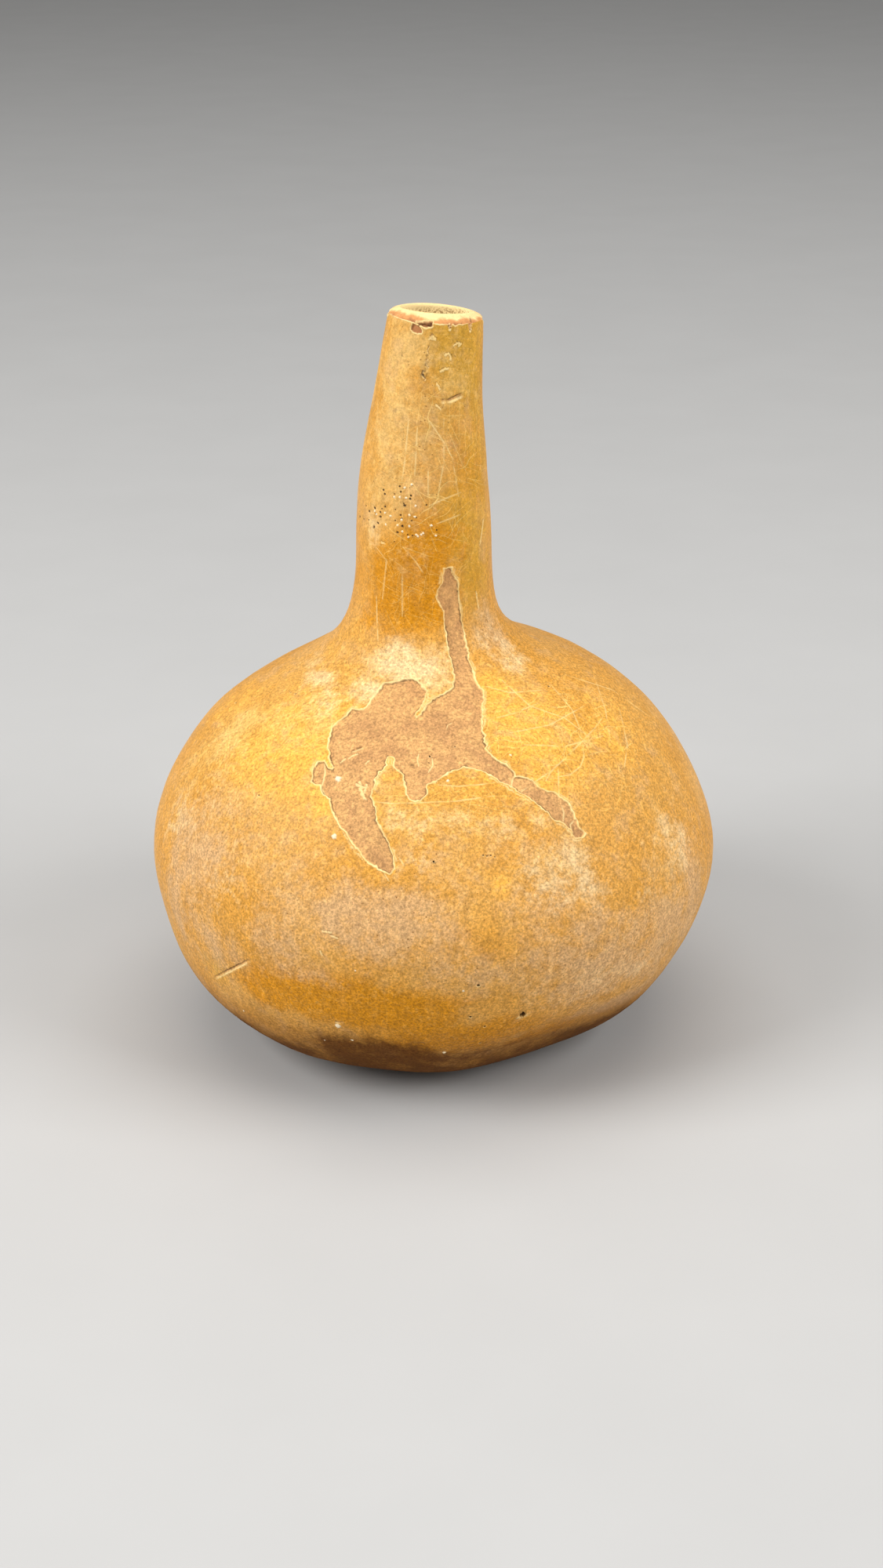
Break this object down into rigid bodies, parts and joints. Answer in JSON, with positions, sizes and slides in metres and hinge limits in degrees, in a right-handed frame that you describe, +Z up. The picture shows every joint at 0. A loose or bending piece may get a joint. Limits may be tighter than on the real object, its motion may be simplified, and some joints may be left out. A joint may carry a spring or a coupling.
{
  "type": "gourd container",
  "caption": "Dried bottle gourd hollowed into a flask, with a squat round body, a tapering neck and a mouth cut open at the top.",
  "frame": {"origin": "middle of the flat spot under the body, on the surface that the gourd stands on", "axes": "+Z up along the neck, -Y towards the weathered side with the peeled scar, +X to that side's right"},
  "size_m": [0.1602, 0.1602, 0.2049],
  "materials": {
    "gourd_rind": "satin, weathered"
  },
  "bodies": {
    "root": {"gourd_shell": "gourd_rind"}
  },
  "joints": []
}
